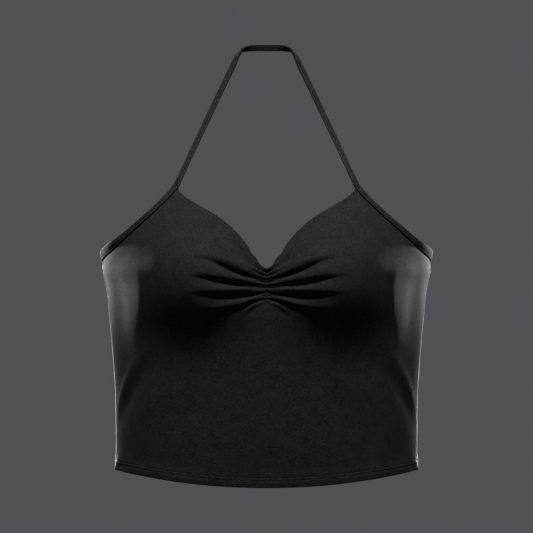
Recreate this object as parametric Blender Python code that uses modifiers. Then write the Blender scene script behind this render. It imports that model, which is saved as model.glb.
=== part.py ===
"""A black jersey halter neck top, in the hollow form it has when worn.

The origin is at the nape, on the inner face of the neck strap. +Z is up and the
front faces -Y. A "drop" is a distance below the nape, and an "angle" runs round
the body in degrees from centre front towards +X. Sizes are in millimetres and
become metres when a mesh is made.
"""
import math

import bmesh
import bpy
import numpy as np

MM = 0.001

# Cloth and seams
WALL = 1.4                  # body jersey
HEM_WALL = 2.4              # turned-up hem, two layers
HEM_DEPTH = 10.0
HEM_STEP = 0.6              # height of the step where the hem's second layer ends
SEAM_GAP = 0.3
BINDING_THICKNESS = 2.4
BINDING_PROUD = 1.1         # how far the binding stands out from the panel beside it
BINDING_ROUNDNESS = 0.6     # 1 makes the strip's section an ellipse, less a flatter one

# Body form
SIDE_LINE_Y = -45.0         # the sides of the body lie this far in front of the nape
FRONT_SQUARENESS = 2.2      # 2 gives an ellipse, more a squarer ring
BACK_SQUARENESS = 2.3
SIDE_SEAM_ANGLE = 80.0
APEX_ANGLE = 33.3           # where the neckline meets the strap

# Bust shaping
BUST_X = 72.0
BUST_DROP = 245.0
BUST_HEIGHT = 21.0
BUST_SPREAD = 48.0
BUST_RISE = 72.0
BUST_FALL = 42.0

# Centre front gather
PULL_IN = 4.0               # how far the gathered seam draws the front in
PULL_WIDTH = 16.0
PULL_DROP = 246.0
PULL_REACH = 26.0
SEAM_DENT = 1.0
SEAM_DENT_WIDTH = 2.2
PLEAT_HEIGHT = 0.8          # small pleats, two to each large fold, close to the seam
PLEAT_REACH = 8.0
FOLD_AT_SEAM = 0.6          # share of its full height that a fold has at the seam
FOLD_GROWTH = 16.0
FOLD_STEADY = 0.3           # share of its reach before a fold starts to fade

# Hem
HEM_DROP = 424.2
HEM_FRONT_DIP = 10.4
HEM_BACK_DIP = 5.0
HEM_DIP_POWER = 3

# Finish
PANEL_SHADE = 0.020
BINDING_SHADE = 0.022
BLUE_TINT = 1.08
PANEL_ROUGHNESS = 0.85
BINDING_ROUGHNESS = 0.8

# Mesh density
NECK_COLUMNS = 12
COLUMN_CROWDING = 1.6       # columns stand closer together towards centre front
ARMHOLE_COLUMNS = 11
BACK_COLUMNS = 15
TOP_ROWS = 4
BACK_ROWS = 12
ARMHOLE_STATIONS = ARMHOLE_COLUMNS
BACK_STATIONS = BACK_COLUMNS
STRAP_STATIONS = 3          # for each row of the strap's table
BINDING_SIDES = 8
MEETING_ROUNDS = 20         # repeats that settle where a column meets a curve
SHARP_ANGLE = 50.0
MERGE_DISTANCE = 0.00001    # metres

RING_PER_DEGREE = 2.2       # mean length of a degree round the body, for soft folds
TURN_STEP = 0.25            # steps for slopes, in degrees and millimetres
DROP_STEP = 0.5


def table(columns, *rows):
    """A short table as a dictionary of its named columns."""
    names = columns.split()
    return {name: [row[i] for row in rows] for i, name in enumerate(names)}


# The outside of the body, ring by ring
SECTIONS = table(
    "drop half_width front back",
    (130, 145.0, 60.0, 79.0),
    (155, 152.5, 70.0, 84.0),
    (180, 158.8, 80.5, 89.0),
    (206, 163.6, 90.5, 93.0),
    (226, 164.0, 95.0, 95.0),
    (242, 161.8, 94.5, 94.0),
    (258, 159.8, 92.5, 92.0),
    (290, 155.9, 90.0, 88.0),
    (322, 153.6, 89.5, 85.0),
    (354, 151.9, 90.5, 85.0),
    (400, 151.5, 93.0, 88.0),
    (440, 152.4, 95.5, 91.0),
)

# The free edge of the front between the two straps
NECKLINE = table(
    "x drop",
    (0.0, 224.7),
    (3.4, 223.4),
    (6.6, 220.0),
    (9.6, 214.8),
    (13.9, 210.8),
    (15.8, 207.3),
    (17.8, 202.9),
    (22.0, 197.4),
    (32.3, 186.1),
    (46.0, 174.8),
    (67.6, 161.9),
    (76.4, 156.6),
    (82.9, 151.4),
    (88.0, 146.5),
)

# The bound edge, down the armhole and across the back, and the binding's width on it
BOUND_EDGE = table(
    "angle drop width",
    (33.3, 147.4, 5.0),
    (37.0, 157.7, 4.5),
    (44.2, 173.3, 4.3),
    (54.7, 191.4, 4.8),
    (60.0, 199.2, 5.8),
    (65.7, 205.2, 6.8),
    (72.0, 209.8, 7.2),
    (80.0, 214.0, 7.4),
    (90.0, 217.4, 7.0),
    (120.0, 224.0, 6.3),
    (150.0, 231.5, 6.2),
    (180.0, 235.0, 6.2),
)

# The strap from the apex to the nape: the middle of the strip, its width, and how far
# it has rolled from facing forwards (0) to lying on the back of the neck (180)
STRAP = table(
    "x y drop width roll",
    (85.3, -102.5, 138.8, 5.3, 8),
    (75.0, -87.7, 114.6, 5.5, 0),
    (59.0, -64.0, 77.8, 5.8, 0),
    (45.3, -43.0, 46.3, 5.8, 4),
    (34.0, -22.5, 20.4, 5.8, 20),
    (28.4, -11.0, 7.4, 6.1, 62),
    (24.2, -5.0, 2.4, 6.2, 112),
    (18.0, -1.6, 0.5, 6.3, 158),
    (10.0, 0.5, 0.0, 6.3, 176),
    (0.0, 1.2, 0.0, 6.3, 180),
)

# Lines that fan out from the gathered seam, ridges with a height and hollows with a
# negative one. A line has a drop at each of these distances from centre front, and a
# number of mesh rows between it and the next.
GATHER_X = (0.0, 20.6, 39.8, 63.7, 162.0)
GATHER = table(
    "height reach rows drops",
    (0.0, 80, 3, (228.2, 208.0, 200.0, 190.0, 218.0)),
    (2.0, 92, 3, (232.6, 222.4, 216.8, 209.1, 224.0)),
    (-2.4, 84, 3, (235.9, 229.6, 221.8, 216.0, 231.0)),
    (2.0, 88, 3, (239.0, 234.0, 232.1, 226.8, 238.0)),
    (-2.4, 96, 3, (241.3, 238.9, 236.7, 232.0, 245.0)),
    (2.2, 92, 3, (244.0, 243.3, 243.3, 243.3, 252.0)),
    (-2.6, 96, 3, (247.0, 248.9, 249.9, 250.5, 259.0)),
    (2.0, 88, 3, (250.8, 254.3, 258.7, 263.0, 267.0)),
    (-1.4, 40, 2, (254.1, 258.9, 264.0, 270.0, 275.0)),
    (1.0, 30, 2, (255.9, 261.3, 267.4, 275.0, 283.0)),
    (-1.0, 34, 2, (257.8, 264.2, 272.0, 283.0, 292.0)),
    (0.0, 80, 13, (262.0, 272.0, 284.0, 299.0, 310.0)),
)

# Soft folds in the hang of the cloth, each along a line from start to end
DRAPES = table(
    "start_angle start_drop end_angle end_drop width height",
    (44, 294, 82, 378, 8, 2.0),
    (36, 296, 84, 398, 10, -2.2),
    (22, 310, 62, 396, 14, 1.0),
    (64, 404, 90, 438, 8, 1.5),
    (84, 232, 112, 330, 12, -1.6),
    (92, 250, 140, 372, 16, 2.2),
    (110, 262, 165, 380, 16, -2.2),
    (128, 300, 178, 420, 20, 1.8),
)


class Curve:
    """A smooth curve through given points.

    It never swings past a point unless it is free, as a path through space is.
    """

    def __init__(self, places, values, free=False):
        self.places = np.asarray(places, float)
        self.values = np.asarray(values, float)
        spans = np.diff(self.places)
        rises = np.diff(self.values) / spans
        self.slopes = np.empty(len(self.places))
        self.slopes[0] = rises[0]
        self.slopes[-1] = rises[-1]
        for i in range(1, len(rises)):
            before, after = rises[i - 1], rises[i]
            if free:
                mixed = before * spans[i] + after * spans[i - 1]
                self.slopes[i] = mixed / (spans[i - 1] + spans[i])
            elif before * after <= 0:
                self.slopes[i] = 0.0
            else:
                self.slopes[i] = 2 * before * after / (before + after)

    def __call__(self, place):
        place = min(max(place, self.places[0]), self.places[-1])
        i = int(np.searchsorted(self.places, place, side="right")) - 1
        i = min(i, len(self.places) - 2)
        span = self.places[i + 1] - self.places[i]
        t = (place - self.places[i]) / span
        ease = 3 * t**2 - 2 * t**3
        level = self.values[i] * (1 - ease) + self.values[i + 1] * ease
        leave = self.slopes[i] * span * (t**3 - 2 * t**2 + t)
        arrive = self.slopes[i + 1] * span * (t**3 - t**2)
        return level + leave + arrive


half_width = Curve(SECTIONS["drop"], SECTIONS["half_width"])
front_depth = Curve(SECTIONS["drop"], SECTIONS["front"])
back_depth = Curve(SECTIONS["drop"], SECTIONS["back"])
neckline_drop = Curve(NECKLINE["x"], NECKLINE["drop"])
bound_drop = Curve(BOUND_EDGE["angle"], BOUND_EDGE["drop"])
binding_width = Curve(BOUND_EDGE["angle"], BOUND_EDGE["width"])
gather_lines = [Curve(GATHER_X, drops) for drops in GATHER["drops"]]


def bell(distance, width):
    """1 in the middle, falling away over the width."""
    return math.exp(-((distance / width) ** 2))


def unit(vector):
    return vector / np.linalg.norm(vector)


def body_point(angle, drop):
    """The outside of the body before any fold."""
    across = math.sin(math.radians(angle))
    ahead = math.cos(math.radians(angle))
    if ahead > 0:
        depth, power = front_depth(drop), 2 / FRONT_SQUARENESS
    else:
        depth, power = back_depth(drop), 2 / BACK_SQUARENESS
    x = half_width(drop) * math.copysign(abs(across) ** power, across)
    y = SIDE_LINE_Y - depth * math.copysign(abs(ahead) ** power, ahead)
    if ahead > 0:
        bust = bell(x - BUST_X, BUST_SPREAD) + bell(x + BUST_X, BUST_SPREAD)
        reach = BUST_FALL if drop > BUST_DROP else BUST_RISE
        y -= BUST_HEIGHT * bust * bell(drop - BUST_DROP, reach)
        y += PULL_IN * bell(x, PULL_WIDTH) * bell(drop - PULL_DROP, PULL_REACH)
    return np.array((x, y, -drop))


def body_out(angle, drop):
    """The direction straight out of the body."""
    along = body_point(angle + TURN_STEP, drop) - body_point(angle - TURN_STEP, drop)
    upward = body_point(angle, drop - DROP_STEP) - body_point(angle, drop + DROP_STEP)
    return unit(np.cross(along, upward))


def fold_share(x, reach):
    """How much of its full height a gather fold has at x."""
    grown = FOLD_AT_SEAM + (1 - FOLD_AT_SEAM) * (1 - bell(x, FOLD_GROWTH))
    fading = (x / reach - FOLD_STEADY) / (1 - FOLD_STEADY)
    return grown * (0.5 + 0.5 * math.cos(math.pi * min(max(fading, 0.0), 1.0)))


def gather_height(x, drop):
    """Height of the gathers above the plain body."""
    drops = [line(x) for line in gather_lines]
    if not drops[0] < drop < drops[-1]:
        return 0.0
    i = int(np.searchsorted(drops, drop)) - 1
    share = (drop - drops[i]) / (drops[i + 1] - drops[i])
    low = GATHER["height"][i] * fold_share(x, GATHER["reach"][i])
    high = GATHER["height"][i + 1] * fold_share(x, GATHER["reach"][i + 1])
    height = low + (high - low) * (0.5 - 0.5 * math.cos(math.pi * share))
    if 0 < i < len(drops) - 2:
        height -= PLEAT_HEIGHT * bell(x, PLEAT_REACH) * math.cos(2 * math.pi * share)
        height -= SEAM_DENT * bell(x, SEAM_DENT_WIDTH)
    return height


def drape_height(angle, drop):
    """Height of the soft folds above the plain body."""
    height = 0.0
    for start, start_drop, end, end_drop, width, top in zip(*DRAPES.values()):
        run = (end - start) * RING_PER_DEGREE
        fall = end_drop - start_drop
        length = math.hypot(run, fall)
        across = (angle - start) * RING_PER_DEGREE
        down = drop - start_drop
        share = (across * run + down * fall) / length**2
        if 0 < share < 1:
            aside = (across * fall - down * run) / length
            height += top * bell(aside, width) * math.sin(math.pi * share) ** 2
    return height


def hem_drop(angle):
    """The hem dips a little at centre front and centre back."""
    ahead = math.cos(math.radians(angle))
    dip = HEM_FRONT_DIP if ahead > 0 else HEM_BACK_DIP
    return HEM_DROP + dip * abs(ahead) ** HEM_DIP_POWER


def meet(curve_over_x, angle):
    """The drop at which a column of the front crosses a curve given over x."""
    drop = curve_over_x(body_point(angle, BUST_DROP)[0])
    for _ in range(MEETING_ROUNDS):
        drop = 0.5 * (drop + curve_over_x(body_point(angle, drop)[0]))
    return drop


def spread(stops, rows):
    """The stops, with evenly spaced rows between each pair."""
    values = [stops[0]]
    for low, high, count in zip(stops, stops[1:], rows):
        values += [low + (high - low) * (i + 1) / count for i in range(count)]
    return values


def column(angle, stops, rows, folded):
    """Outer and inner points up one column of cloth, from the hem to the top edge."""
    hem = hem_drop(angle)
    hem_top = hem - HEM_DEPTH
    drops = [hem, hem_top] + spread([hem_top - HEM_STEP] + stops, rows)
    points = []
    for drop in drops:
        out = body_out(angle, drop)
        outer = body_point(angle, drop)
        height = drape_height(angle, drop)
        if folded:
            height += gather_height(outer[0], drop)
        outer = outer + out * height
        wall = HEM_WALL if drop >= hem_top else WALL
        points.append((outer, outer - out * wall))
    return points


def front_column(angle):
    """A column of the front, with mesh rows that follow the lines of the gather."""
    lines = [meet(line, angle) for line in reversed(gather_lines)]
    top = bound_drop(angle) if angle >= APEX_ANGLE else meet(neckline_drop, angle)
    rows = list(reversed(GATHER["rows"])) + [TOP_ROWS]
    return column(angle, lines + [top], rows, folded=True)


def back_column(angle):
    return column(angle, [bound_drop(angle)], [BACK_ROWS], folded=False)


def seam_turn():
    """The turn that covers half the gap at the side seam."""
    behind = body_point(SIDE_SEAM_ANGLE + TURN_STEP, BUST_DROP)
    ahead = body_point(SIDE_SEAM_ANGLE - TURN_STEP, BUST_DROP)
    return SEAM_GAP * TURN_STEP / np.linalg.norm(behind - ahead)


def evenly(start, end, count):
    return [start + (end - start) * i / count for i in range(count + 1)]


def front_angles():
    """Columns of the front, from centre front to the side seam."""
    apex = body_point(APEX_ANGLE, bound_drop(APEX_ANGLE))
    ring = half_width(bound_drop(APEX_ANGLE))
    angles = []
    for i in range(NECK_COLUMNS):
        x = apex[0] * (i / NECK_COLUMNS) ** COLUMN_CROWDING
        angles.append(math.degrees(math.asin((x / ring) ** (FRONT_SQUARENESS / 2))))
    return angles + evenly(APEX_ANGLE, SIDE_SEAM_ANGLE - seam_turn(), ARMHOLE_COLUMNS)


def back_angles():
    """Columns of the back, from the side seam to centre back."""
    return evenly(SIDE_SEAM_ANGLE + seam_turn(), 180.0, BACK_COLUMNS)


def bound_station(angle):
    """Middle, outward direction and width of the binding at one place on its edge."""
    drop = bound_drop(angle)
    out = body_out(angle, drop)
    ahead = body_point(angle + TURN_STEP, bound_drop(angle + TURN_STEP))
    behind = body_point(angle - TURN_STEP, bound_drop(angle - TURN_STEP))
    upward = np.cross(out, unit(ahead - behind))
    width = binding_width(angle)
    middle = body_point(angle, drop) + upward * (SEAM_GAP + width / 2)
    middle = middle + out * (BINDING_PROUD - BINDING_THICKNESS / 2)
    return middle, out, width


def strap_outs(middles):
    """The strap's outward directions, from its roll and the path's own direction."""
    outs = []
    for i, roll in enumerate(STRAP["roll"]):
        place = i + len(middles) - len(STRAP["roll"])
        after = middles[min(place + 1, len(middles) - 1)]
        along = unit(after - middles[place - 1])
        forward = np.array((0.0, -1.0, 0.0))
        forward = unit(forward - along * np.dot(forward, along))
        turn = math.radians(roll)
        outs.append(forward * math.cos(turn) + np.cross(along, forward) * math.sin(turn))
    return outs


def halter_stations():
    """Stations of the binding from the side seam up the armhole and strap to the nape."""
    angles = evenly(SIDE_SEAM_ANGLE - seam_turn(), APEX_ANGLE, ARMHOLE_STATIONS)
    armhole = [bound_station(angle) for angle in angles]
    strap = [np.array((x, y, -drop)) for x, y, drop in zip(STRAP["x"], STRAP["y"], STRAP["drop"])]
    middles = [station[0] for station in armhole] + strap
    outs = [station[1] for station in armhole] + strap_outs(middles)
    widths = [station[2] for station in armhole] + STRAP["width"]
    lengths = [np.linalg.norm(b - a) for a, b in zip(middles, middles[1:])]
    places = np.concatenate(([0.0], np.cumsum(lengths)))
    rows = [1] * ARMHOLE_STATIONS + [STRAP_STATIONS] * len(strap)
    paths = [Curve(places, values, free=True) for values in np.array(middles).T]
    faces = [Curve(places, values) for values in np.array(outs).T]
    broad = Curve(places, widths)
    stations = []
    for place in spread(list(places), rows):
        middle = np.array([path(place) for path in paths])
        out = np.array([face(place) for face in faces])
        stations.append((middle, out, broad(place)))
    return stations


def seam_along():
    """Direction of the binding's path, front to back, where it crosses the side seam."""
    behind = bound_station(SIDE_SEAM_ANGLE + TURN_STEP)[0]
    return unit(behind - bound_station(SIDE_SEAM_ANGLE - TURN_STEP)[0])


def back_stations():
    """Stations of the binding from the side seam to centre back."""
    angles = evenly(SIDE_SEAM_ANGLE + seam_turn(), 180.0, BACK_STATIONS)
    return [bound_station(angle) for angle in angles]


def rounded(share):
    return math.copysign(abs(share) ** BINDING_ROUNDNESS, share)


def binding_ring(middle, out, along, width):
    """The binding's rounded section, turning from its outer face about its path."""
    out = unit(out - along * np.dot(out, along))
    side = np.cross(along, out)
    half_turn = math.pi / BINDING_SIDES
    full = rounded(math.cos(half_turn))
    points = []
    for i in range(BINDING_SIDES):
        turn = (2 * i + 1) * half_turn
        depth = rounded(math.cos(turn)) / full * BINDING_THICKNESS / 2
        reach = rounded(math.sin(turn)) / full * width / 2
        points.append(middle + out * depth + side * reach)
    return points


def binding_rings(stations, first_along):
    """Rings square to the path; the first one faces its neighbour at the side seam."""
    middles = [station[0] for station in stations]
    rings = []
    for i, (middle, out, width) in enumerate(stations):
        along = unit(middles[min(i + 1, len(middles) - 1)] - middles[max(i - 1, 0)])
        rings.append(binding_ring(middle, out, along if i else first_along, width))
    return rings


def onto_plane(points):
    """Put an edge that will be mirrored exactly on the mirror plane."""
    for point in points:
        point[0] = 0.0


def cloth_mesh(columns, first_open):
    """A wall of cloth, closed but for its first or its last column."""
    bm = bmesh.new()
    faces = [
        [[bm.verts.new(pair[side] * MM) for pair in column_points] for column_points in columns]
        for side in (0, 1)
    ]
    outer, inner = faces
    last = len(columns) - 1
    top = len(columns[0]) - 1
    for i in range(last):
        for j in range(top):
            bm.faces.new((outer[i][j], outer[i + 1][j], outer[i + 1][j + 1], outer[i][j + 1]))
            bm.faces.new((inner[i][j + 1], inner[i + 1][j + 1], inner[i + 1][j], inner[i][j]))
        bm.faces.new((inner[i][0], inner[i + 1][0], outer[i + 1][0], outer[i][0]))
        bm.faces.new((outer[i][top], outer[i + 1][top], inner[i + 1][top], inner[i][top]))
    for j in range(top):
        if first_open:
            bm.faces.new((outer[last][j], inner[last][j], inner[last][j + 1], outer[last][j + 1]))
        else:
            bm.faces.new((inner[0][j], outer[0][j], outer[0][j + 1], inner[0][j + 1]))
    return bm


def binding_mesh(rings):
    """A strip through its rings, closed at its first and open at its last."""
    bm = bmesh.new()
    loops = [[bm.verts.new(point * MM) for point in ring] for ring in rings]
    for near, far in zip(loops, loops[1:]):
        for j in range(BINDING_SIDES):
            k = (j + 1) % BINDING_SIDES
            bm.faces.new((near[j], near[k], far[k], far[j]))
    bm.faces.new(tuple(reversed(loops[0])))
    return bm


def cloth_material(name, shade, roughness):
    """Plain black jersey, a trace bluer than grey."""
    material = bpy.data.materials.new(name)
    material.use_nodes = True
    shader = material.node_tree.nodes["Principled BSDF"]
    shader.inputs["Base Color"].default_value = (shade, shade, shade * BLUE_TINT, 1.0)
    shader.inputs["Roughness"].default_value = roughness
    shader.inputs["Metallic"].default_value = 0.0
    return material


def add_piece(name, bm, material, collection):
    """An object from half a piece, mirrored about the middle of the garment."""
    mesh = bpy.data.meshes.new(name)
    bm.to_mesh(mesh)
    bm.free()
    mesh.shade_smooth()
    mesh.set_sharp_from_angle(angle=math.radians(SHARP_ANGLE))
    mesh.materials.append(material)
    piece = bpy.data.objects.new(name, mesh)
    collection.objects.link(piece)
    mirror = piece.modifiers.new("both_sides", "MIRROR")
    mirror.use_axis = (True, False, False)
    mirror.use_mirror_merge = True
    mirror.merge_threshold = MERGE_DISTANCE
    return piece


def make_front(collection):
    columns = [front_column(angle) for angle in front_angles()]
    for pair in columns[0]:
        onto_plane(pair)
    material = cloth_material("front_jersey", PANEL_SHADE, PANEL_ROUGHNESS)
    add_piece("front_panel", cloth_mesh(columns, True), material, collection)


def make_back(collection):
    columns = [back_column(angle) for angle in back_angles()]
    for pair in columns[-1]:
        onto_plane(pair)
    material = cloth_material("back_jersey", PANEL_SHADE, PANEL_ROUGHNESS)
    add_piece("back_panel", cloth_mesh(columns, False), material, collection)


def make_halter_binding(collection):
    rings = binding_rings(halter_stations(), -seam_along())
    onto_plane(rings[-1])
    material = cloth_material("halter_binding_jersey", BINDING_SHADE, BINDING_ROUGHNESS)
    add_piece("halter_binding", binding_mesh(rings), material, collection)


def make_back_binding(collection):
    rings = binding_rings(back_stations(), seam_along())
    onto_plane(rings[-1])
    material = cloth_material("back_binding_jersey", BINDING_SHADE, BINDING_ROUGHNESS)
    add_piece("back_binding", binding_mesh(rings), material, collection)


def main():
    for thing in list(bpy.data.objects):
        bpy.data.objects.remove(thing)
    collection = bpy.data.collections.new("halter_neck_top")
    bpy.context.scene.collection.children.link(collection)
    make_front(collection)
    make_back(collection)
    make_halter_binding(collection)
    make_back_binding(collection)


main()
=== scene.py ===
import math

import bpy
import numpy as np
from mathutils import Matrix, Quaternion, Vector


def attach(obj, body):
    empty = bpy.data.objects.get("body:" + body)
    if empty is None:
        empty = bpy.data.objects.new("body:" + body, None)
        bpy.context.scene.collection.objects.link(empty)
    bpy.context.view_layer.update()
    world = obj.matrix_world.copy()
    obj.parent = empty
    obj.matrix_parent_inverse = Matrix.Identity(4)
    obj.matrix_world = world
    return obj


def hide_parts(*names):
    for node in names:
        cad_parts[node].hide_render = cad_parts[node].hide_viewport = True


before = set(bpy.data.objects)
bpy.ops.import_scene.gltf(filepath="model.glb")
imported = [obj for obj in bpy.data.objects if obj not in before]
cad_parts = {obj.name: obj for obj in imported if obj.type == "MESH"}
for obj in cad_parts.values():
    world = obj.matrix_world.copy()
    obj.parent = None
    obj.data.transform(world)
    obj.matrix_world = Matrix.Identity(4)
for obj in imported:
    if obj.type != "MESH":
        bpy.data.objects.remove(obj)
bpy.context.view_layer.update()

mm = 0.001

# Sizes of the cloth are in millimetres. A drop is a distance below the nape, and an
# angle runs round the body in degrees from centre front towards +X.


def table(columns, *rows):
    # the columns of a list of rows, by their names
    names = columns.split()
    return {name: np.array([row[i] for row in rows], float) for i, name in enumerate(names)}


def bell(distance, width):
    return np.exp(-((distance / width) ** 2))


def ease(share):
    share = np.clip(share, 0.0, 1.0)
    return share * share * (3 - 2 * share)


def unit(vectors):
    return vectors / np.linalg.norm(vectors, axis=-1, keepdims=True)


def slopedBlend(t, low, high, leave, arrive):
    # from low to high as t goes from 0 to 1, with the slopes at both ends
    share = t * t * (3 - 2 * t)
    level = low * (1 - share) + high * share
    return level + leave * (t ** 3 - 2 * t ** 2 + t) + arrive * (t ** 3 - t ** 2)


def smoothCurve(places, values, free=False):
    # a curve through the values that never swings past one, unless it is free
    places = np.asarray(places, float)
    values = np.asarray(values, float)
    if values.ndim == 1:
        single = smoothCurve(places, values[:, None], free)
        return lambda place: single(place)[..., 0]
    spans = np.diff(places)[:, None]
    rises = np.diff(values, axis=0) / spans
    before, after = rises[:-1], rises[1:]
    if free:
        inner = (before * spans[1:] + after * spans[:-1]) / (spans[1:] + spans[:-1])
    else:
        total = np.where(before * after > 0, before + after, 1.0)
        inner = np.where(before * after > 0, 2 * before * after / total, 0.0)
    slopes = np.vstack((rises[:1], inner, rises[-1:]))

    def at(place):
        place = np.clip(np.asarray(place, float), places[0], places[-1])
        i = np.clip(np.searchsorted(places, place, side="right") - 1, 0, len(places) - 2)
        span = (places[i + 1] - places[i])[..., None]
        t = (place - places[i])[..., None] / span
        return slopedBlend(t, values[i], values[i + 1], slopes[i] * span, slopes[i + 1] * span)

    return at


def pathLength(points):
    # the length along a path at each of its points, or along many paths side by side
    steps = np.linalg.norm(np.diff(points, axis=0), axis=-1)
    return np.concatenate((np.zeros((1,) + steps.shape[1:]), np.cumsum(steps, axis=0)))


# the body that the cloth lies on
bodyForm = {
    "sideLineY": -45.0,
    "frontSquareness": 2.2,      # 2 is an ellipse, more is squarer
    "backSquareness": 2.3,
    "bustX": 78.0,
    "bustDrop": 245.0,
    "bustHeight": 23.5,
    "bustSpread": 48.0,
    "bustRise": 72.0,
    "bustFall": 42.0,
    "pullIn": 4.0,               # the gathered seam draws the front in
    "pullWidth": 16.0,
    "pullDrop": 246.0,
    "pullReach": 26.0,
    "ringPerDegree": 2.2,        # mean length of a degree round the body
    "turnStep": 0.25,            # steps over which slopes are taken
    "dropStep": 0.5,
    "slantStep": 1.0,
    "meetRounds": 20,            # rounds that close in on a crossing
}
ringPerDegree = bodyForm["ringPerDegree"]
sections = table(
    "drop halfWidth front back",
    (130, 145.0, 60.0, 79.0),
    (155, 152.5, 70.0, 84.0),
    (180, 158.8, 80.5, 89.0),
    (206, 163.6, 90.5, 93.0),
    (226, 163.5, 95.0, 95.0),
    (242, 160.6, 94.5, 94.0),
    (258, 158.4, 92.5, 92.0),
    (290, 155.4, 90.0, 88.0),
    (322, 152.7, 89.5, 85.0),
    (354, 150.9, 90.5, 85.0),
    (400, 150.5, 93.0, 88.0),
    (440, 151.2, 95.5, 91.0),
)
halfWidth = smoothCurve(sections["drop"], sections["halfWidth"])
frontDepth = smoothCurve(sections["drop"], sections["front"])
backDepth = smoothCurve(sections["drop"], sections["back"])


def bodyPoint(angle, drop):
    s = bodyForm
    angle, drop = np.broadcast_arrays(np.asarray(angle, float), np.asarray(drop, float))
    across = np.sin(np.radians(angle))
    ahead = np.cos(np.radians(angle))
    front = ahead > 0
    depth = np.where(front, frontDepth(drop), backDepth(drop))
    power = np.where(front, 2 / s["frontSquareness"], 2 / s["backSquareness"])
    x = halfWidth(drop) * np.sign(across) * np.abs(across) ** power
    y = s["sideLineY"] - depth * np.sign(ahead) * np.abs(ahead) ** power
    bust = bell(x - s["bustX"], s["bustSpread"]) + bell(x + s["bustX"], s["bustSpread"])
    reach = np.where(drop > s["bustDrop"], s["bustFall"], s["bustRise"])
    swell = s["bustHeight"] * bust * bell(drop - s["bustDrop"], reach)
    pull = s["pullIn"] * bell(x, s["pullWidth"]) * bell(drop - s["pullDrop"], s["pullReach"])
    y = y + np.where(front, pull - swell, 0.0)
    return np.stack((x, y, -drop), axis=-1)


def bodyOut(angle, drop):
    turn, fall = bodyForm["turnStep"], bodyForm["dropStep"]
    along = bodyPoint(angle + turn, drop) - bodyPoint(angle - turn, drop)
    upward = bodyPoint(angle, drop - fall) - bodyPoint(angle, drop + fall)
    return unit(np.cross(along, upward))


# where the panels end
edges = {
    "sideSeamAngle": 80.0,
    "apexAngle": 33.3,           # where the neckline meets the strap
    "hemDrop": 424.2,
    "hemFrontDip": 10.8,
    "hemBackDip": 5.0,
    "hemDipPower": 3,
    "bindingGap": 0.3,           # the binding starts this far above a bound edge
    "bindingPivot": 0.3,         # share of its width about which it is rolled
}
neckline = table(
    "x drop",
    (0.0, 224.7),
    (3.4, 223.4),
    (6.6, 220.0),
    (9.6, 214.8),
    (12.6, 211.9),
    (13.9, 210.6),
    (15.4, 207.6),
    (17.8, 202.9),
    (22.0, 197.4),
    (32.3, 186.1),
    (46.0, 174.8),
    (67.6, 161.9),
    (76.4, 156.6),
    (82.9, 151.4),
    (88.0, 146.5),
)
boundEdge = table(
    "angle drop width roll",
    (33.3, 147.4, 5.0, 0),
    (37.0, 157.7, 4.5, 4),
    (44.2, 173.3, 4.3, 12),
    (54.7, 191.4, 4.8, 18),
    (60.0, 199.2, 5.8, 18),
    (65.7, 205.2, 6.8, 17),
    (72.0, 209.8, 7.2, 14),
    (80.0, 214.0, 7.4, 13),
    (90.0, 217.4, 7.0, 12),
    (120.0, 224.0, 6.3, 3),
    (150.0, 231.5, 6.2, 0),
    (180.0, 235.0, 6.2, 0),
)
neckDrop = smoothCurve(neckline["x"], neckline["drop"])
boundDrop = smoothCurve(boundEdge["angle"], boundEdge["drop"])
boundWidth = smoothCurve(boundEdge["angle"], boundEdge["width"])
boundRoll = smoothCurve(boundEdge["angle"], boundEdge["roll"])


def sideAngle(angle):
    # the same angle measured on the nearer side
    return np.abs((np.asarray(angle, float) + 180) % 360 - 180)


def hemDrop(angle):
    ahead = np.cos(np.radians(angle))
    dip = np.where(ahead > 0, edges["hemFrontDip"], edges["hemBackDip"])
    return edges["hemDrop"] + dip * np.abs(ahead) ** edges["hemDipPower"]


def boundSlant(angle):
    # length up the body of each millimetre square to the bound edge
    step = bodyForm["slantStep"]
    rise = boundDrop(angle + step) - boundDrop(angle - step)
    run = 2 * step * ringPerDegree
    return np.hypot(rise, run) / run


def meetOverX(curve, angle):
    # the drop where a column of the front crosses a curve given over x
    drop = curve(np.abs(bodyPoint(angle, bodyForm["bustDrop"])[..., 0]))
    for _ in range(bodyForm["meetRounds"]):
        drop = 0.5 * (drop + curve(np.abs(bodyPoint(angle, drop)[..., 0])))
    return drop


# the gathers at centre front
gather = {
    "seamShare": 0.2,            # share of its height that a fold has at the seam
    "seamGrowth": 17.0,          # distance from the seam over which it grows
    "steady": 0.55,              # share of its reach before it fades
    "edgeSlope": 1.5,            # how steeply the cloth leaves a sharp hollow
    "creaseWidth": 1.35,
    "creaseAtSeam": 0.6,         # share of its depth that a crease has at the seam
    "creaseGrowth": 3.0,
    "creasePower": 1.3,          # 1 is a plain notch, more is a sharper one
    "seamDent": 0.6,
    "seamDentWidth": 1.0,
    "seamTopFade": 2.0,          # the dent starts and ends gently
    "seamBottomFade": 6.0,
}
gatherX = (0.0, 5.7, 11.5, 19.1, 30.5, 45.8, 61.1, 80.0)
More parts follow.
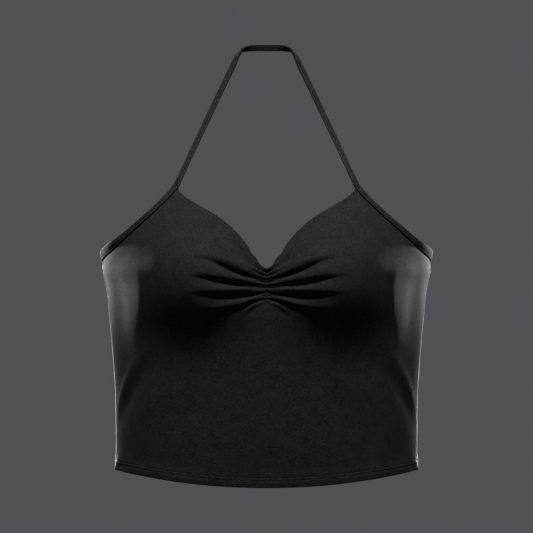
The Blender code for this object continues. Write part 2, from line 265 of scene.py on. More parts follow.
# the lines of the gather, from the top down: height, sharpness, how far it reaches from
# the seam, mesh rows to the next line, and its drop at each of the distances above
gatherLines = table(
    "height sharp reach rows drops",
    (0.0, 0.0, 90, 4, (226.6, 223.2, 217.8, 209.2, 201.5, 195.8, 193.9, 197.7)),
    (-1.0, 0.5, 34, 3, (229.9, 226.0, 223.1, 217.5, 211.5, 206.3, 203.3, 206.3)),
    (1.4, 0.0, 84, 6, (231.3, 227.8, 225.4, 222.0, 217.8, 212.0, 208.3, 210.0)),
    (1.9, 0.0, 80, 4, (234.4, 232.9, 230.9, 226.8, 220.4, 215.0, 211.6, 212.4)),
    (-3.1, 1.0, 68, 7, (235.5, 234.3, 233.4, 232.3, 228.2, 220.4, 215.6, 216.0)),
    (2.1, 0.0, 84, 6, (240.4, 239.5, 238.0, 236.0, 233.7, 231.0, 229.2, 228.2)),
    (-2.8, 1.0, 76, 7, (241.5, 240.9, 241.0, 241.1, 240.5, 237.5, 234.0, 232.4)),
    (2.3, 0.0, 82, 4, (245.7, 246.4, 246.4, 244.9, 245.1, 245.3, 245.4, 245.4)),
    (-2.4, 0.2, 74, 4, (246.7, 248.0, 248.6, 249.2, 249.7, 249.9, 249.6, 249.2)),
    (-2.3, 1.0, 60, 6, (247.6, 249.6, 250.6, 251.5, 252.4, 252.9, 253.1, 253.4)),
    (2.3, 0.0, 78, 5, (252.7, 252.9, 253.6, 255.8, 258.4, 260.9, 262.3, 263.6)),
    (-1.8, 0.6, 62, 4, (254.3, 255.3, 257.2, 259.5, 263.1, 266.4, 269.3, 272.1)),
    (0.9, 0.0, 22, 4, (255.8, 258.2, 260.0, 264.0, 270.2, 276.0, 281.7, 287.4)),
    (-1.1, 0.7, 26, 5, (257.9, 260.9, 263.8, 269.3, 276.9, 284.5, 291.2, 297.9)),
    (0.0, 0.0, 90, 0, (262.6, 266.4, 271.2, 278.8, 288.4, 297.9, 304.6, 312.2)),
)
gatherCurves = [smoothCurve(gatherX, drops) for drops in gatherLines["drops"]]
# short creases that split the ridges close to the seam, with their drops at the first
# four of those distances
creases = table(
    "depth reach drops",
    (1.0, 9, (229.0, 226.4, 223.4, 219.0)),
    (1.7, 20, (232.4, 230.2, 227.3, 223.4)),
    (1.7, 17, (238.4, 237.2, 236.2, 235.2)),
    (1.7, 19, (243.7, 243.5, 243.2, 242.9)),
    (1.2, 8, (250.9, 251.8, 252.6, 253.4)),
)
creaseCurves = [smoothCurve(gatherX[:4], drops) for drops in creases["drops"]]


def foldShare(x, reach):
    # a fold grows from the seam, stays, and fades towards its end
    s = gather
    grown = s["seamShare"] + (1 - s["seamShare"]) * (1 - bell(x, s["seamGrowth"]))
    return grown * (1 - ease((x / reach - s["steady"]) / (1 - s["steady"])))


def creaseDepth(x, drop):
    s = gather
    depth = np.zeros_like(x)
    grown = s["creaseAtSeam"] + (1 - s["creaseAtSeam"]) * ease(x / s["creaseGrowth"])
    for deep, reach, curve in zip(creases["depth"], creases["reach"], creaseCurves):
        aside = np.abs(drop - curve(x)) / s["creaseWidth"]
        notch = np.clip(1 - aside, 0, 1) ** s["creasePower"]
        depth = depth + deep * grown * (1 - ease(x / reach)) * notch
    return depth


def gatherHeight(x, drop):
    # how far the gathered cloth stands out, at a distance x from the seam
    s, lines = gather, gatherLines
    drops = np.array([curve(x) for curve in gatherCurves])
    heights = np.array([h * foldShare(x, r) for h, r in zip(lines["height"], lines["reach"])])
    height = np.zeros_like(x)
    for i in range(len(drops) - 1):
        low, high = drops[i], drops[i + 1]
        t = np.clip((drop - low) / (high - low), 0.0, 1.0)
        slope = s["edgeSlope"] * (heights[i + 1] - heights[i])
        leave, arrive = lines["sharp"][i] * slope, lines["sharp"][i + 1] * slope
        between = slopedBlend(t, heights[i], heights[i + 1], leave, arrive)
        height = np.where((drop >= low) & (drop < high), between, height)
    inside = ease((drop - drops[0]) / s["seamTopFade"])
    inside = inside * ease((drops[-1] - drop) / s["seamBottomFade"])
    dent = s["seamDent"] * bell(x, s["seamDentWidth"]) * inside
    return height - creaseDepth(x, drop) - dent


# soft folds in the hang of the cloth
drapeFade = 20.0                 # folds are gone at the bound edges
drapes = table(
    "startAngle startDrop endAngle endDrop width height",
    (44, 294, 82, 378, 6, 2.0),          # from the bust down to the side
    (36, 296, 81, 394, 9, -2.2),
    (22, 310, 62, 396, 12, 1.0),
    (10, 316, 50, 424, 10, -0.7),
    (64, 404, 90, 438, 6, 1.5),
    (64, 190, 65, 340, 18, -2.4),        # beside the bust
    (48, 196, 50, 290, 6, 0.4),
    (84, 232, 112, 330, 11, -1.7),       # over the side and the back
    (92, 250, 140, 372, 14, 2.3),
    (110, 262, 165, 380, 15, -2.3),
    (128, 300, 178, 420, 18, 1.9),
    (132, 246, 176, 300, 9, -1.2),
)
# soft hollows along lines over x: depth, width, where each starts and ends, its drops
troughs = table(
    "depth width places drops",
    (0.9, 3.0, (56.0, 38.6, 31.0, 21.0, 14.0), (175.0, 189.0, 198.0, 213.0, 222.0)),
    (0.5, 2.2, (30.0, 24.0, 19.0, 15.0, 11.0), (214.5, 217.0, 219.5, 222.0, 225.0)),
)
troughCurves = [
    smoothCurve(places[::-1], drops[::-1])
    for places, drops in zip(troughs["places"], troughs["drops"])
]
troughSlant = 0.75               # the way across a slanted line is shorter than the way down


def drapeHeight(angle, drop):
    height = np.zeros(np.broadcast(angle, drop).shape)
    side = sideAngle(angle)
    for start, startDrop, end, endDrop, width, top in zip(*drapes.values()):
        run = (end - start) * ringPerDegree
        fall = endDrop - startDrop
        length = math.hypot(run, fall)
        across = (side - start) * ringPerDegree
        down = drop - startDrop
        share = np.clip((across * run + down * fall) / length ** 2, 0, 1)
        aside = (across * fall - down * run) / length
        height = height + top * bell(aside, width) * np.sin(np.pi * share) ** 2
    return height * ease((drop - boundDrop(side)) / drapeFade)


def troughDepth(x, drop):
    depth = np.zeros_like(x)
    for deep, width, places, curve in zip(
        troughs["depth"], troughs["width"], troughs["places"], troughCurves
    ):
        share = np.clip((places[0] - x) / (places[0] - places[-1]), 0, 1)
        aside = (drop - curve(x)) * troughSlant
        depth = depth + deep * bell(aside, width) * np.sin(np.pi * share)
    return depth


print("forms ready")


# front and back panel
panel = {
    "wall": 1.1,
    "hemWall": 2.2,              # the hem's two layers
    "hemDepth": 10.0,
    "hemStep": 0.5,              # height over which the second layer ends
    "hemRound": 0.5,             # the fold at the bottom draws in
    "hemRoundOver": 1.0,
    "hemStand": 0.6,             # the hem stands out a little
    "hemStandOver": 3.0,
    "stitchRows": (9.2, 6.5),    # heights of the twin needle rows above the edge
    "stitchGroove": 0.35,
    "grooveWidth": 0.75,
    "tunnel": 0.22,              # the cloth stands up between the two rows
    "tuck": 2.2,                 # how far a bound edge reaches into the binding
    "tuckWall": 0.5,
    "tuckDip": 0.17,
    "tuckFrom": 0.6,             # it is thin down to here
    "tuckFade": 2.6,
    "seamGap": 0.12,             # each panel ends this far from the seam's line
    "seamDip": 0.3,              # the back dips to the seam
    "seamRoll": 1.6,
    "seamLean": 0.25,            # the back's corners lean with the end of the binding
    "leanReach": 3.0,
    "dipAboveHem": 0.6,          # no dip this near to the hem and the bound edge
    "dipBelowEdge": 1.2,
    "dipFade": 3.2,
    "lap": 4.0,                  # seam allowance of the front under the back
    "lapDip": 1.8,
    "lapFrom": 0.2,
    "lapTurn": 1.3,              # distance over which the front dips to the seam
    "lapAboveHem": 4.8,          # it ends short of the hem and of the binding
    "lapBelowEdge": 5.4,
    "lapFade": 4.0,
    "lapLeast": 0.006,           # share of it that is left at both ends
    "neckRoll": 0.5,             # rounding of the free neckline, outside and inside
    "neckRollIn": 0.45,
    "neckRollOver": 0.7,
    "neckThick": 0.35,           # it is turned, so it is thicker
    "neckThickOut": 0.4,         # share of that on the outside
    "neckFlat": 1.5,
    "neckFade": 2.0,
    "mapDrop": 330.0,            # where the cloth's map is measured round the body
}
# rows of points up a panel
rowPlan = {
    # heights above the hem's edge
    "hem": (0.0, 0.35, 1.0, 2.2, 4.6, 5.6, 6.1, 6.5, 6.9, 7.85, 8.8, 9.2, 9.6, 10.2, 11.4),
    "backShares": (0.8, 0.95, 1.0),      # of the way from there to the top
    "backCounts": (56, 16, 8),
    "belowGathers": 26,          # rows on either side of the gather lines
    "aboveGathers": 16,
    "rim": (1.8, 1.2, 0.7, 0.35, 0.12, 0.0),     # distances below the top edge
    "rimRoom": 2.6,              # they close up where there is less room than this
    "gathersEnd": 84.0,          # farther out the rows leave the gather lines
    "gathersEndOver": 46.0,
    # shares of the way from the top to the hem where they are then
    "sideShares": (0.10, 0.13, 0.15, 0.19, 0.21, 0.25, 0.28, 0.32, 0.34, 0.36, 0.40, 0.43,
                   0.46, 0.49, 0.54),
}
# columns of points round a panel
columnPlan = {
    "neckCount": 56,             # centre front to strap
    "neckCrowding": 1.6,         # more is denser at the centre
    "armCount": 36,              # strap to side seam
    "armEnd": 0.85,              # degrees before the seam
    "turned": (0.6, 0.4, 0.2, 0.0),
    "lapShares": (0.2, 0.5, 1.0),
    "backCorner": (0.0, 0.25, 0.5, 0.8, 1.2),    # degrees past the seam
    "backStart": 2.0,
    "backCount": 104,
}


def addPiece(name, verts, faces):
    mesh = bpy.data.meshes.new(name)
    mesh.from_pydata(verts, [], faces)
    mesh.shade_smooth()
    piece = bpy.data.objects.new(name, mesh)
    bpy.context.scene.collection.objects.link(piece)
    return piece


def ringPiece(name, points, uvAlong, uvAround, walled):
    # a mesh through rings of points: [station, place round the ring, xyz]; the rings of
    # a wall go up one face and down the other, and both of its ends are closed, but the
    # last ring of a strip stays open for its mirror image
    count, around = points.shape[:2]
    index = np.arange(count * around).reshape(count, around)
    following = np.roll(index, -1, axis=1)
    quads = np.stack((index[:-1], index[1:], following[1:], following[:-1]), axis=-1)
    faces = quads.reshape(-1, 4).tolist()
    nextAlong = np.roll(uvAlong, -1, axis=1)
    nextAround = np.roll(uvAround, -1, axis=1)
    nextAround[:, -1] = uvAround[:, -1] * 2 - uvAround[:, -2]
    corners = [
        np.stack((uvAlong[:-1], uvAround[:-1]), -1),
        np.stack((uvAlong[1:], uvAround[1:]), -1),
        np.stack((nextAlong[1:], nextAround[1:]), -1),
        np.stack((nextAlong[:-1], nextAround[:-1]), -1),
    ]
    uvs = [np.stack(corners, axis=2).reshape(-1, 2)]
    if walled:
        caps = [(j, j + 1, around - 2 - j, around - 1 - j) for j in range(around // 2 - 1)]
    else:
        caps = [tuple(range(around))]
    ends = (0, count - 1) if walled else (0,)
    for end in ends:
        for cap in caps:
            places = cap if end else cap[::-1]
            faces.append([int(index[end, p]) for p in places])
            uvs.append([(uvAlong[end, p], uvAround[end, p]) for p in places])
    piece = addPiece(name, (points.reshape(-1, 3) * mm).tolist(), faces)
    layer = piece.data.uv_layers.new(name="cloth")
    layer.data.foreach_set("uv", (np.vstack(uvs) * mm).astype(np.float32).ravel())
    return piece


def clothHeight(angle, drop, x, isFront):
    # how far the outer face stands out of the body form
    s = panel
    height = drapeHeight(angle, drop)
    if isFront:
        height = height + gatherHeight(np.abs(x), drop) - troughDepth(np.abs(x), drop)
    above = hemDrop(angle) - drop
    for row in s["stitchRows"]:
        height = height - s["stitchGroove"] * bell(above - row, s["grooveWidth"])
    middle = sum(s["stitchRows"]) / 2
    stand = ease((s["hemDepth"] + s["hemStandOver"] - above) / s["hemStandOver"])
    return height + s["hemStand"] * stand + s["tunnel"] * bell(above - middle, s["grooveWidth"])


def spreadRows(stops, counts):
    spread = [stops[0]]
    for low, high, count in zip(stops, stops[1:], counts):
        for i in range(1, count + 1):
            spread.append(low + (high - low) * i / count)
    return spread


def gatherRows(angles, top, bottom):
    # the drops of the gather lines in each column, from the lowest line up
    s = rowPlan
    x = np.abs(bodyPoint(angles, bodyForm["bustDrop"])[..., 0])
    outward = ease((x - s["gathersEnd"]) / s["gathersEndOver"])
    lines = []
    for curve, share in zip(gatherCurves, s["sideShares"]):
        atSide = top + (bottom - top) * share
        lines.append(meetOverX(curve, angles) * (1 - outward) + atSide * outward)
    return lines[::-1]


def panelDrops(angles, isFront):
    # the rows of each column, from the hem up
    s = rowPlan
    hem = [hemDrop(angles) - mark for mark in s["hem"]]
    side = sideAngle(angles)
    tucked = boundDrop(side) - panel["tuck"] * boundSlant(side)
    if not isFront:
        upper = [hem[-1] + (tucked - hem[-1]) * share for share in s["backShares"]]
        return np.array(hem[:-1] + spreadRows([hem[-1]] + upper, s["backCounts"])).T
    top = np.where(side < edges["apexAngle"], meetOverX(neckDrop, angles), tucked)
    lines = gatherRows(angles, top, hem[-1])
    squeeze = np.minimum(1, (lines[-1] - top) / s["rimRoom"])
    rim = [top + mark * squeeze for mark in s["rim"]]
    counts = [s["belowGathers"]] + [int(n) for n in gatherLines["rows"][-2::-1]]
    counts += [s["aboveGathers"]] + [1] * (len(rim) - 1)
    return np.array(hem[:-1] + spreadRows([hem[-1]] + lines + rim, counts)).T


def lappedTurn(turn, above, below):
    # columns past the front's seam are its allowance, which shrinks away at both ends
    s = panel
    share = ease((above - s["hemDepth"] - s["lapAboveHem"]) / s["lapFade"])
    share = np.maximum(share * ease((below - s["lapBelowEdge"]) / s["lapFade"]), s["lapLeast"])
    edge = edges["sideSeamAngle"] - s["seamGap"] / ringPerDegree
    past = np.maximum(np.abs(turn) - edge, 0)
    return np.sign(turn) * (np.minimum(np.abs(turn), edge) + past * share)


def leaningTurn(turn, below):
    # the back's bound corners step back as the end of the binding leans
    s = panel
    fromSeam = (sideAngle(turn) - edges["sideSeamAngle"]) * ringPerDegree
    back = s["seamLean"] * np.maximum(-below, 0) * bell(fromSeam, s["leanReach"]) / ringPerDegree
    return turn + np.sign(180 - turn) * back


def seamDip(side, above, below, isFront):
    # the front dips under the back at the side seam, and the back dips a little
    s = panel
    share = ease((above - s["hemDepth"] - s["dipAboveHem"]) / s["dipFade"])
    share = share * ease((below - s["dipBelowEdge"]) / s["dipFade"])
    fromSeam = (edges["sideSeamAngle"] - side) * ringPerDegree
    if isFront:
        return s["lapDip"] * ease(1 - (fromSeam - s["lapFrom"]) / s["lapTurn"]) * share
    return s["seamDip"] * bell(fromSeam, s["seamRoll"]) * share


def boundShape(side, below):
    # a bound edge dips and thins into the binding: changes of height and of wall
    s = panel
    share = ease(1 - (below - s["tuckFrom"]) / s["tuckFade"])
    pivot = edges["bindingGap"] + edges["bindingPivot"] * boundWidth(side)
    lean = np.tan(np.radians(boundRoll(side)))
    dip = s["tuckDip"] + lean * (below / boundSlant(side) + pivot)
    return -dip * share, (s["tuckWall"] - s["wall"]) * share


def neckShape(fromEdge):
    # the free neckline is a turned, rounded edge
    s = panel
    thick = s["neckThick"] * ease(1 - (fromEdge - s["neckFlat"]) / s["neckFade"])
    rounded = np.clip(1 - fromEdge / s["neckRollOver"], 0, 1) ** 2
    height = thick * s["neckThickOut"] - s["neckRoll"] * rounded
    return height, thick - (s["neckRoll"] + s["neckRollIn"]) * rounded


def hemShape(above):
    # two layers with a round fold at the bottom
    s = panel
    layer = 1 - ease((above - s["hemDepth"]) / s["hemStep"])
    low = s["hemRound"] * np.clip(1 - above / s["hemRoundOver"], 0, 1) ** 2
    return -low, (s["hemWall"] - s["wall"]) * layer - 2 * low


def panelPiece(name, angles, isFront):
    seam = edges["sideSeamAngle"]
    within = np.clip(angles, -seam, seam) if isFront else angles
    drops = panelDrops(within, isFront)
    above = hemDrop(within)[:, None] - drops
    below = drops - boundDrop(sideAngle(within))[:, None]
    turn = np.repeat(angles[:, None], drops.shape[1], axis=1)
    turn = lappedTurn(turn, above, below) if isFront else leaningTurn(turn, below)
    side = sideAngle(turn)
    base = bodyPoint(turn, drops)
    out = bodyOut(turn, drops)
    bound = side >= edges["apexAngle"]       # the top edge is free between the straps
    topHeight, topWall = np.where(bound, boundShape(side, below), neckShape(drops - drops[:, -1:]))
    hemHeight, hemWall = hemShape(above)
    height = clothHeight(turn, drops, base[..., 0], isFront)
    height = height - seamDip(side, above, below, isFront) + topHeight + hemHeight
    wall = panel["wall"] + topWall + hemWall
    outer = base + out * height[..., None]
    inner = base + out * (height - wall)[..., None]
    ring = np.concatenate((outer, inner[:, ::-1]), axis=1)
    along = pathLength(bodyPoint(angles[:, None], panel["mapDrop"]))
    uvAlong = np.repeat(along, ring.shape[1], axis=1)
    uvAround = pathLength(np.swapaxes(ring, 0, 1)).T
    return ringPiece(name, ring, uvAlong, uvAround, True)


def frontAngles():
    s, apex = columnPlan, edges["apexAngle"]
    apexX = bodyPoint(apex, boundDrop(apex))[0]
    share = (np.arange(s["neckCount"]) / s["neckCount"]) ** s["neckCrowding"]
    across = apexX * share / halfWidth(boundDrop(apex))
    inner = np.degrees(np.arcsin(across ** (bodyForm["frontSquareness"] / 2)))
    seam = edges["sideSeamAngle"] - panel["seamGap"] / ringPerDegree
    outer = np.linspace(apex, seam - s["armEnd"], s["armCount"])
    turned = seam - np.array(s["turned"])
    lapped = seam + np.array(s["lapShares"]) * panel["lap"] / ringPerDegree
    half = np.concatenate((inner, outer, turned, lapped))
    return np.concatenate((-half[:0:-1], half))


def backAngles():
    s = columnPlan
    seam = edges["sideSeamAngle"] + panel["seamGap"] / ringPerDegree
    corner = seam + np.array(s["backCorner"])
    middle = np.linspace(seam + s["backStart"], 360 - s["backStart"] - seam, s["backCount"])
    return np.concatenate((corner, middle, 360 - corner[::-1]))


frontShell = panelPiece("front_shell", frontAngles(), True)
print("front:", len(frontShell.data.polygons), "faces")
backShell = panelPiece("back_shell", backAngles(), False)
print("back:", len(backShell.data.polygons), "faces")


# the folded strip that binds the edges and goes on as the strap
binding = {
    "lineDepth": 0.1,            # its line runs this far under the panel's face
    "leadStations": 12,          # coarse ones that lead into the strap's curve
    "armStations": 60,
    "backStations": 70,
    "strapStep": 3.0,            # distance between stations along the strap
    "closeAfter": 3.0,           # the slot starts to close this far past the panel
    "closeOver": 6.0,
    "face": 1.45,                # depths of both faces, out of the panel's face
    "back": -1.3,
    "faceLow": 0.8,              # the face hangs lower than the back
    "backRise": 0.1,
    "over": 0.4,                 # it is wider where it binds
    "grooveRise": 1.35,          # the stitch groove, above the face's lower edge
    "grooveHalf": 0.35,
    "grooveDepth": 0.45,
    "slotDepth": -0.42,
    "slotHalf": 0.36,
    "slotHeight": 2.82,
    "slotRound": 0.3,
    "closedHalf": 0.02,          # what is left of the slot where it is closed
    "closedHeight": 0.08,
    "closedRound": 0.03,
    "mergeDistance": 0.01 * mm,  # where the two halves meet
}
# the strap's line from above the panel to the nape; its roll turns the face from forward
strap = table(
    "x y drop width roll",
    (85.3, -102.5, 138.8, 5.3, 8),
    (75.0, -87.7, 114.6, 5.5, 0),
    (59.0, -64.0, 77.8, 5.8, 0),
    (45.3, -43.0, 46.3, 5.8, 4),
    (34.0, -22.5, 20.4, 5.8, 20),
    (28.4, -11.0, 7.4, 6.1, 62),
    (24.2, -5.0, 2.4, 6.2, 112),
    (18.0, -1.6, 0.5, 6.3, 158),
    (10.0, 0.5, 0.0, 6.3, 176),
    (0.0, 1.2, 0.0, 6.3, 180),
)


def boundStations(angles):
    # the strip's middle, the way out of its face and its width along a bound edge
    pivot = edges["bindingPivot"]
    drop = boundDrop(angles)
    out = bodyOut(angles, drop)
    step = bodyForm["turnStep"]
    ahead = bodyPoint(angles + step, boundDrop(angles + step))
    behind = bodyPoint(angles - step, boundDrop(angles - step))
    upward = np.cross(out, unit(ahead - behind))
    width = boundWidth(angles)[:, None]
    middle = bodyPoint(angles, drop) + upward * (edges["bindingGap"] + width * pivot)
    middle = middle - out * binding["lineDepth"]
    roll = np.radians(boundRoll(angles))[:, None]
    middle = middle + (upward * np.cos(roll) + out * np.sin(roll)) * width * (0.5 - pivot)
    return middle, out * np.cos(roll) - upward * np.sin(roll), width[:, 0]


def strapOuts(middles):
    # the way out of the strap's face: forward at first, then turned by its roll
    outs = []
    first = len(middles) - len(strap["roll"])
    for place, roll in enumerate(strap["roll"], first):
        after = middles[min(place + 1, len(middles) - 1)]
        along = unit(after - middles[place - 1])
        forward = np.array((0.0, -1.0, 0.0))
        forward = unit(forward - along * np.dot(forward, along))
        turn = math.radians(roll)
        outs.append(forward * math.cos(turn) + np.cross(along, forward) * math.sin(turn))
    return np.array(outs)


def halterStations():
    # from the side seam up the armhole and the strap to the nape; the last value of a
    # station is 1 where the strip binds the panel and 0 where it is closed
    s = binding
    seam = edges["sideSeamAngle"] - panel["seamGap"] / 2 / ringPerDegree
    lead = boundStations(np.linspace(seam, edges["apexAngle"], s["leadStations"]))
    arm = boundStations(np.linspace(seam, edges["apexAngle"], s["armStations"]))
    middles = np.vstack((lead[0], np.stack((strap["x"], strap["y"], -strap["drop"]), axis=1)))
    outs = np.vstack((lead[1], strapOuts(middles)))
    widths = np.concatenate((lead[2], strap["width"]))
    places = pathLength(middles)
    start, end = places[len(lead[0]) - 1], places[-1]
    count = int((end - start) / s["strapStep"])
    rest = start + (end - start) * np.arange(1, count + 1) / count
    middle = np.vstack((arm[0], smoothCurve(places, middles, free=True)(rest)))
    out = np.vstack((arm[1], smoothCurve(places, outs)(rest)))
    width = np.concatenate((arm[2], smoothCurve(places, widths)(rest)))
    closed = ease((rest - start - s["closeAfter"]) / s["closeOver"])
    return middle, out, width, np.concatenate((np.ones(s["armStations"]), 1 - closed))


def backStations():
    seam = edges["sideSeamAngle"] + panel["seamGap"] / 2 / ringPerDegree
    middle, out, width = boundStations(np.linspace(seam, 180.0, binding["backStations"]))
    return middle, out, width, np.ones(len(middle))


def stripSection(width, bound):
    # depth (out of the body) and reach (away from the panel) round the folded strip; its
    # slot for the panel's edge closes as bound goes from 1 to 0
    s = binding
    face, back, slot = s["face"], s["back"], s["slotDepth"]
    shut = 1 - bound
    low = -s["faceLow"] * bound
    inner = s["backRise"] * bound
    groove = low + s["grooveRise"]
    top = width + s["over"] * bound
    slotTop = s["closedHeight"] + s["slotHeight"] * bound
    slotSide = slotTop - s["slotRound"] * bound - s["closedRound"] * shut
    half = s["closedHalf"] + s["slotHalf"] * bound
    slotOut, slotIn = slot + half, slot - half
    lowerEdge = [(slotOut + 0.12 * shut, low + 0.2 * bound), (0.3, low), (0.75, low + 0.08)]
    faceSide = [
        (face - 0.06, low + 0.35), (face, low + 0.75),
        (face - 0.12, groove - s["grooveHalf"]), (face - s["grooveDepth"], groove),
        (face - 0.12, groove + s["grooveHalf"]), (face + 0.02, groove + 0.8),
        (face + 0.06, width * 0.62), (face, top - 0.6),
    ]
    upperEdge = [(face - 0.2, top - 0.15), (0.45, top), (-0.35, top + 0.02), (-0.9, top - 0.15)]
    backSide = [
        (back + 0.08, top - 0.6), (back, width - 1.3), (back - 0.02, width * 0.55), (back, 1.6),
        (back + 0.03, inner + 0.6), (back + 0.12, inner + 0.2), ((back + slotIn) / 2, inner),
    ]
    slotWalls = [
        (slotIn - 0.02 - 0.14 * shut, inner + 0.12 * bound),
        (slotIn - 0.07 * shut, inner + 0.01 + 0.49 * bound), (slotIn - 0.02 * shut, slotSide),
        (slot, slotTop),
        (slotOut + 0.02 * shut, slotSide), (slotOut + 0.07 * shut, low + 0.01 + 0.79 * bound),
    ]
    return np.array(lowerEdge + faceSide + upperEdge + backSide + slotWalls)


def stripFaces(stations, backwards):
    # the directions out of the strip's face and across it, away from the panel
    middle, out = stations[:2]
    after = np.vstack((middle[1:], middle[-1:]))
    before = np.vstack((middle[:1], middle[:-1]))
    along = unit(after - before)
    out = unit(out - along * np.sum(out * along, axis=1, keepdims=True))
    side = np.cross(along, out)
    return out, -side if backwards else side


def stripPiece(name, stations, backwards):
    middle, _, width, bound = stations
    out, side = stripFaces(stations, backwards)
    rings = []
    for i in range(len(middle)):
        depth, reach = stripSection(width[i], bound[i]).T[:, :, None]
        depth, reach = depth + binding["lineDepth"], reach - width[i] / 2
        rings.append(middle[i] + out[i] * depth + side[i] * reach)
    rings = np.array(rings)
    if not backwards:
        rings = rings[:, ::-1]
    rings[-1, :, 0] = 0.0        # the last ring lies in the middle plane
    uvAlong = np.repeat(pathLength(middle)[:, None], rings.shape[1], axis=1)
    uvAround = pathLength(np.swapaxes(rings, 0, 1)).T
    piece = ringPiece(name, rings, uvAlong, uvAround, False)
    bpy.context.view_layer.objects.active = piece
    mirror = piece.modifiers.new("bothSides", "MIRROR")
    mirror.use_mirror_merge = True
    mirror.merge_threshold = binding["mergeDistance"]
    bpy.ops.object.modifier_apply(modifier="bothSides")
    return piece


halterLine, backLine = halterStations(), backStations()
halterStrip = stripPiece("halter_strip", halterLine, False)
backStrip = stripPiece("back_strip", backLine, True)
print("binding and strap ready")


# stitches, each a small thread whose ends go down into the cloth
thread = {
    "radius": 0.15,
    "sides": 6,
    "hemPitch": 2.35,
    "stripPitch": 2.6,
    "rise": 0.03,                # the middle of a stitch above the groove's floor
    "sink": 0.30,                # how far its ends go into the cloth
    "runPoints": 240,            # points of a row along the hem
    "runEnd": 1.0,               # degrees from the side seam where it ends
    "colour": (0.03, 0.03, 0.031, 1.0),
    "roughness": 0.55,
}
# place in shares of the pitch, depth in shares of the sink, thickness
stitchShape = table(
    "place depth size",
    (-0.41, 1.0, 0.5),
    (-0.30, 0.2, 1.0),
    (0.0, 0.0, 1.0),
    (0.30, 0.2, 1.0),
    (0.41, 1.0, 0.5),
)


def hemRow(angles, row, isFront):
    # a line of points on the cloth and the way out of it at each
    drop = hemDrop(angles) - row
    base = bodyPoint(angles, drop)
    out = bodyOut(angles, drop)
    return base + out * clothHeight(angles, drop, base[..., 0], isFront)[..., None], out


def stripRow(stations, backwards):
    # along the groove of a strip, from its seam on one side over to the other side
    s = binding
    middle, _, width, bound = stations
    out, side = stripFaces(stations, backwards)
    depth = s["face"] - s["grooveDepth"] + s["lineDepth"]
    reach = s["grooveRise"] - s["faceLow"] * bound - width / 2
    path = middle + out * depth + side * reach[:, None]
    flip = np.array((-1.0, 1.0, 1.0))
    return np.vstack((path[1:], path[-2::-1] * flip)), np.vstack((out[1:], out[-2::-1] * flip))


def stitchRings(path, out, pitch):
    # rings of points round the threads: [stitch, place along it, side, xyz]
    s, shape = thread, stitchShape
    places = pathLength(path)
    count = int(places[-1] / pitch)
    middles = (np.arange(count) + 0.5) * places[-1] / count
    at = middles[:, None] + shape["place"] * pitch
    line = np.stack([np.interp(at, places, path[:, k]) for k in range(3)], axis=-1)
    facing = unit(np.stack([np.interp(at, places, out[:, k]) for k in range(3)], axis=-1))
    line = line + facing * (s["rise"] - s["sink"] * shape["depth"])[:, None]
    across = np.cross(unit(line[:, -1:] - line[:, :1]), facing)
    turns = (np.arange(s["sides"]) * 2 * math.pi / s["sides"])[:, None]
    ring = facing[:, :, None] * np.cos(turns) + across[:, :, None] * np.sin(turns)
    return line[:, :, None] + ring * (s["radius"] * shape["size"])[:, None, None]


def stitchFaces(first):
    # the ends and sides of the stitch whose points start at first
    sides = thread["sides"]
    last = first + (len(stitchShape["place"]) - 1) * sides
    faces = [[first + k for k in reversed(range(sides))], [last + k for k in range(sides)]]
    for low in range(first, last, sides):
        for k in range(sides):
            n = (k + 1) % sides
            faces.append((low + k, low + n, low + n + sides, low + k + sides))
    return faces


def stitchPiece(name, lines):
    verts = np.vstack([stitchRings(*line).reshape(-1, 3) for line in lines])
    faces = []
    for first in range(0, len(verts), thread["sides"] * len(stitchShape["place"])):
        faces += stitchFaces(first)
    return addPiece(name, (verts * mm).tolist(), faces)


sideStart = edges["sideSeamAngle"] - thread["runEnd"]
sideEnd = edges["sideSeamAngle"] + thread["runEnd"]
frontRun = np.linspace(-sideStart, sideStart, thread["runPoints"])
backRun = np.linspace(sideEnd, 360 - sideEnd, thread["runPoints"])
hemLines = []
for row in panel["stitchRows"]:
    hemLines.append((*hemRow(frontRun, row, True), thread["hemPitch"]))
    hemLines.append((*hemRow(backRun, row, False), thread["hemPitch"]))
hemStitches = stitchPiece("hem_stitching", hemLines)
stripLines = [
    (*stripRow(halterLine, False), thread["stripPitch"]),
    (*stripRow(backLine, True), thread["stripPitch"]),
]
stripStitches = stitchPiece("binding_stitching", stripLines)
print("stitches:", len(hemStitches.data.polygons) + len(stripStitches.data.polygons), "faces")


# fine-knit jersey
jersey = {
    "colour": (0.0128, 0.0128, 0.0138),
    "bindingShade": 1.05,
    "roughness": 0.78,
    "specular": 0.06,
    "sheen": 0.14,
    "sheenRoughness": 0.25,
    "wale": 0.8 * mm,
    "course": 0.62 * mm,
    "legSlant": 0.7,             # courses rise this share of one beside a wale's middle
    "loopShare": 0.35,           # the rest of the knit's relief is the wales
    "fineScale": 620.0,
    "fineDetail": 3.0,
    "broadScale": 90.0,
    "broadDetail": 2.0,
    "fineShare": 0.75,           # the rest of the uneven shade is the broad one
    "contrast": 3.6,
    "knitTone": 0.12,
    "darkest": 0.55,             # shares of the colour
    "lightest": 1.45,
    "knitRelief": 0.6,
    "fineRelief": 0.8,
    "bump": 0.12 * mm,
    "bumpStrength": 0.6,
}


def calc(tree, operation, *values):
    node = tree.nodes.new("ShaderNodeMath")
    node.operation = operation
    for socket, value in zip(node.inputs, values):
        if isinstance(value, (int, float)):
            socket.default_value = value
        else:
            tree.links.new(value, socket)
    return node.outputs[0]


def mixed(tree, first, share, second, otherShare):
    return calc(tree, "ADD", calc(tree, "MULTIPLY", first, share),
                calc(tree, "MULTIPLY", second, otherShare))


